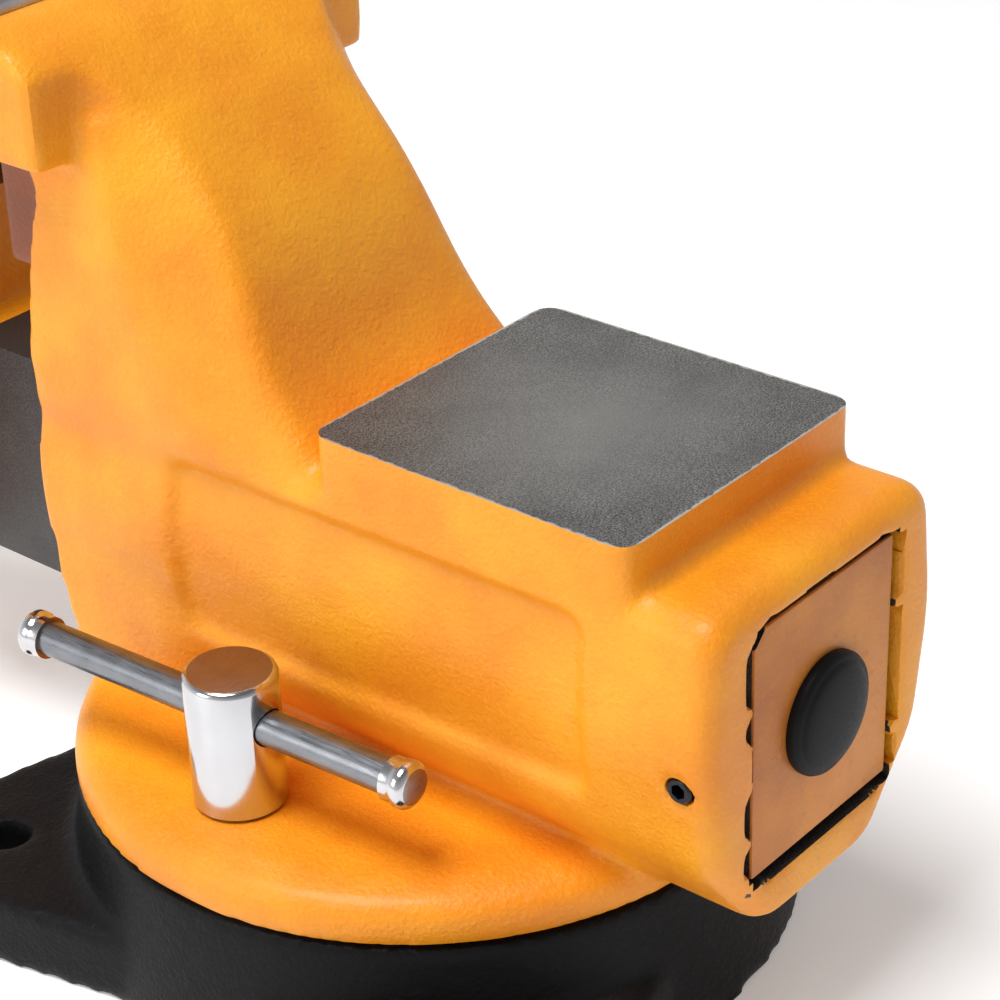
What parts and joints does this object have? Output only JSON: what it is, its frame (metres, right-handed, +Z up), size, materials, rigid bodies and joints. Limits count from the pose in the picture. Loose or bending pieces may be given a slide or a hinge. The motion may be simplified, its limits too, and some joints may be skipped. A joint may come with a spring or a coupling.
{
  "type": "bench vise",
  "caption": "Swivel-base bench vise with anvil, steel jaw inserts, pipe jaws, captive box slide driven by a screw and sliding handle, and T-bar swivel locks.",
  "frame": {"origin": "swivel axis where it meets the bench, at the underside of the base", "axes": "+Z up; +Y towards the back of the vise, so the handle is on the -Y side; +X to the operator's right"},
  "size_m": [0.2382, 0.3441, 0.21],
  "materials": {
    "paint_orange": "glossy orange enamel over sand-cast iron; machined faces bare",
    "paint_black": "semi-gloss black enamel over sand-cast iron",
    "jaw_steel": "hardened and ground steel, serrated",
    "black_oxide": "black oxide steel",
    "nut_iron": "machined ductile iron",
    "zinc_steel": "bright zinc plate",
    "chrome_plate": "polished chrome plate",
    "bar_steel": "turned steel, nickel plated",
    "spindle_steel": "turned steel, oiled",
    "spring_steel": "oil-tempered spring steel",
    "brass_pad": "turned brass",
    "plug_plastic": "satin black moulded plastic"
  },
  "bodies": {
    "base": {"base_casting": "paint_black"},
    "body": {"body_casting": "paint_orange", "rear_jaw_insert": "jaw_steel", "rear_jaw_screws": "black_oxide", "rear_pipe_jaw": "jaw_steel", "rear_pipe_jaw_screws": "black_oxide", "spindle_nut": "nut_iron", "spindle_nut_washer": "zinc_steel", "spindle_nut_bolt": "zinc_steel", "slide_set_screw": "black_oxide", "slide_pad": "brass_pad", "lock_bolt_right": "zinc_steel", "lock_bolt_left": "zinc_steel"},
    "moving_jaw": {"front_jaw_casting": "paint_orange", "front_jaw_insert": "jaw_steel", "front_jaw_screws": "black_oxide", "front_pipe_jaw": "jaw_steel", "front_pipe_jaw_screws": "black_oxide", "slide_end_plug": "plug_plastic"},
    "spindle": {"spindle_screw": "spindle_steel", "spindle_thrust_washer": "zinc_steel", "spindle_spring": "spring_steel", "spindle_spring_washer": "zinc_steel", "spindle_collar": "spindle_steel", "spindle_collar_pin": "spindle_steel"},
    "handle": {"handle_bar": "bar_steel", "handle_knob_right": "bar_steel", "handle_knob_left": "bar_steel"},
    "lock_nut_right": {"lock_nut_right": "chrome_plate"},
    "lock_nut_left": {"lock_nut_left": "chrome_plate"},
    "lock_bar_right": {"lock_bar_right": "bar_steel", "lock_bar_caps_right": "bar_steel"},
    "lock_bar_left": {"lock_bar_left": "bar_steel", "lock_bar_caps_left": "bar_steel"}
  },
  "joints": [
    {"name": "swivel", "type": "hinge", "parent": "base", "child": "body", "pos_m": [0, 0, 0.0375], "axis": [0, 0, 1], "continuous": true},
    {"name": "jaw_slide", "type": "slide", "parent": "body", "child": "moving_jaw", "axis": [0, 1, 0], "range_m": [-0.0701, 0.0318]},
    {"name": "spindle_turn", "type": "hinge", "parent": "moving_jaw", "child": "spindle", "pos_m": [0, -0.17, 0.085], "axis": [0, 1, 0], "range_deg": [-5040, 2282]},
    {"name": "handle_slide", "type": "slide", "parent": "spindle", "child": "handle", "axis": [1, 0, 0], "range_m": [-0.075, 0.075]},
    {"name": "lock_turn_right", "type": "hinge", "parent": "body", "child": "lock_nut_right", "pos_m": [0.059, -0.003, 0.06], "axis": [0, 0, 1], "range_deg": [-13, 5]},
    {"name": "lock_turn_left", "type": "hinge", "parent": "body", "child": "lock_nut_left", "pos_m": [-0.059, -0.003, 0.06], "axis": [0, 0, 1], "range_deg": [-5, 13]},
    {"name": "lock_bar_slide_right", "type": "slide", "parent": "lock_nut_right", "child": "lock_bar_right", "axis": [0.0523, -0.9986, 0], "range_m": [-0.0435, 0.032]},
    {"name": "lock_bar_slide_left", "type": "slide", "parent": "lock_nut_left", "child": "lock_bar_left", "axis": [0.0523, 0.9986, 0], "range_m": [-0.032, 0.0435]}
  ],
  "couplings": [
    {"joint": "jaw_slide", "follows": "spindle_turn", "m_per_rad": 0.00079577}
  ]
}
